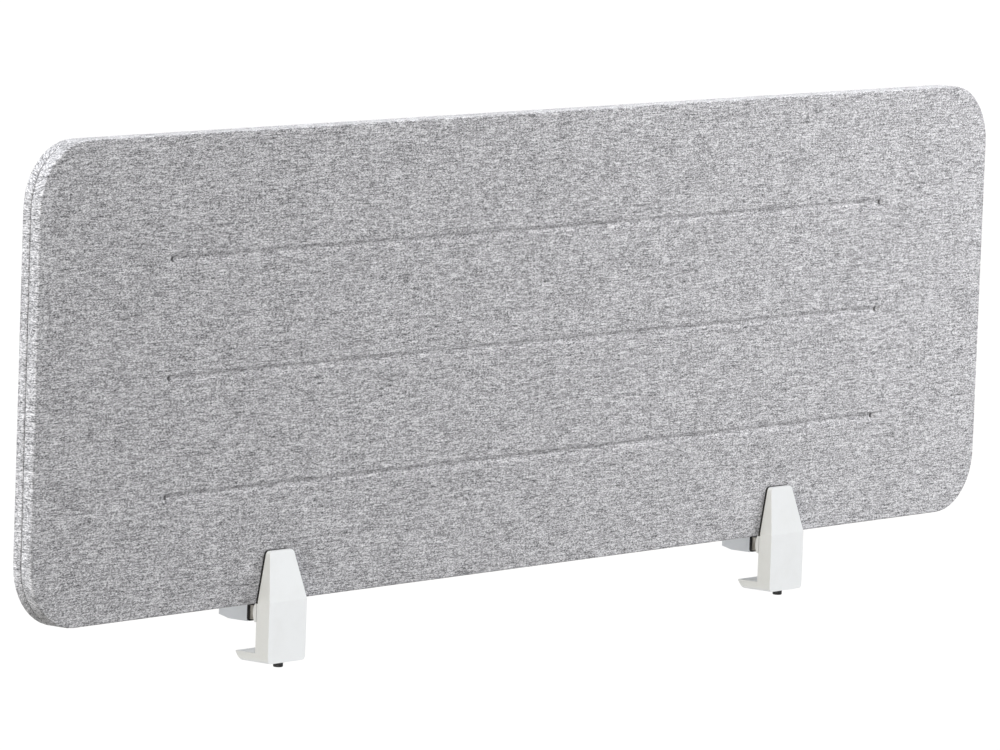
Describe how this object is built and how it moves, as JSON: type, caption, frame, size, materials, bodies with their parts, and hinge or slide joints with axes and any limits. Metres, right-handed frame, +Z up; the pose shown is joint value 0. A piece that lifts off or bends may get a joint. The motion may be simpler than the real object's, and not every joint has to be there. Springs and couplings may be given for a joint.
{
  "type": "desk privacy panel",
  "caption": "Fabric-covered privacy screen for a desk edge, held by C-shaped clamps with a rear jaw and a shelf that grips the desktop from below.",
  "frame": {"origin": "the desktop's top edge at the middle of the panel's width: Z 0 is the desktop's upper side, Y 0 its edge", "axes": "+Z up, +Y over the desktop, +X along the desktop's edge"},
  "size_m": [1.3, 0.0565, 0.455],
  "materials": {
    "fabric_grey": "woven, flecked light and dark grey",
    "core_board": "raw fibreboard",
    "seam_grey": "matt, dark",
    "dowel_wood": "raw beech",
    "dark_thread": "twisted thread",
    "white_paint": "powder coated, fine satin",
    "black_rubber": "matt",
    "black_steel": "black oxide",
    "bright_steel": "zinc plated",
    "bare_metal": "machined, unpainted"
  },
  "bodies": {
    "panel": {"front_board": "core_board", "back_board": "core_board", "front_cover": "fabric_grey", "back_cover": "fabric_grey", "seam_frame": "seam_grey", "joining_dowels": "dowel_wood", "front_tacks": "dark_thread", "back_tacks": "dark_thread"},
    "left_block": {"left_slide_block": "bare_metal", "left_nose_ring": "white_paint"},
    "left_body": {"left_clamp_body": "white_paint", "left_front_pad": "black_rubber"},
    "left_lift_screw_set": {"left_lift_screw": "black_steel", "left_retaining_ring": "bright_steel"},
    "left_jaw": {"left_rear_jaw": "white_paint", "left_end_frame": "white_paint", "left_gasket": "black_rubber", "left_rear_pad": "black_rubber", "left_jaw_washer": "bright_steel"},
    "left_jaw_screw_set": {"left_jaw_screw": "black_steel"},
    "right_block": {"right_slide_block": "bare_metal", "right_nose_ring": "white_paint"},
    "right_body": {"right_clamp_body": "white_paint", "right_front_pad": "black_rubber"},
    "right_lift_screw_set": {"right_lift_screw": "black_steel", "right_retaining_ring": "bright_steel"},
    "right_jaw": {"right_rear_jaw": "white_paint", "right_end_frame": "white_paint", "right_gasket": "black_rubber", "right_rear_pad": "black_rubber", "right_jaw_washer": "bright_steel"},
    "right_jaw_screw_set": {"right_jaw_screw": "black_steel"}
  },
  "joints": [
    {"name": "left_clamp_slide", "type": "slide", "parent": "panel", "child": "left_block", "axis": [1, 0, 0], "range_m": [-0.2, 0.28]},
    {"name": "left_grip_lift", "type": "slide", "parent": "left_block", "child": "left_body", "axis": [0, 0, 1], "range_m": [0, 0.014]},
    {"name": "left_lift_turn", "type": "hinge", "parent": "left_body", "child": "left_lift_screw_set", "pos_m": [-0.346, -0.0052, -0.034], "axis": [0, 0, 1], "range_deg": [0, 6301]},
    {"name": "left_jaw_slide", "type": "slide", "parent": "left_block", "child": "left_jaw", "axis": [0, 1, 0], "range_m": [0, 0.01]},
    {"name": "left_jaw_turn", "type": "hinge", "parent": "left_jaw", "child": "left_jaw_screw_set", "pos_m": [-0.346, 0.0366, 0.008], "axis": [0, 1, 0], "range_deg": [0, 4501]},
    {"name": "right_clamp_slide", "type": "slide", "parent": "panel", "child": "right_block", "axis": [1, 0, 0], "range_m": [-0.28, 0.2]},
    {"name": "right_grip_lift", "type": "slide", "parent": "right_block", "child": "right_body", "axis": [0, 0, 1], "range_m": [0, 0.014]},
    {"name": "right_lift_turn", "type": "hinge", "parent": "right_body", "child": "right_lift_screw_set", "pos_m": [0.346, -0.0052, -0.034], "axis": [0, 0, 1], "range_deg": [0, 6301]},
    {"name": "right_jaw_slide", "type": "slide", "parent": "right_block", "child": "right_jaw", "axis": [0, 1, 0], "range_m": [0, 0.01]},
    {"name": "right_jaw_turn", "type": "hinge", "parent": "right_jaw", "child": "right_jaw_screw_set", "pos_m": [0.346, 0.0366, 0.008], "axis": [0, 1, 0], "range_deg": [0, 4501]}
  ],
  "couplings": [
    {"joint": "left_lift_turn", "follows": "left_grip_lift", "rad_per_m": 7854},
    {"joint": "left_jaw_turn", "follows": "left_jaw_slide", "rad_per_m": 7854},
    {"joint": "right_lift_turn", "follows": "right_grip_lift", "rad_per_m": 7854},
    {"joint": "right_jaw_turn", "follows": "right_jaw_slide", "rad_per_m": 7854}
  ]
}
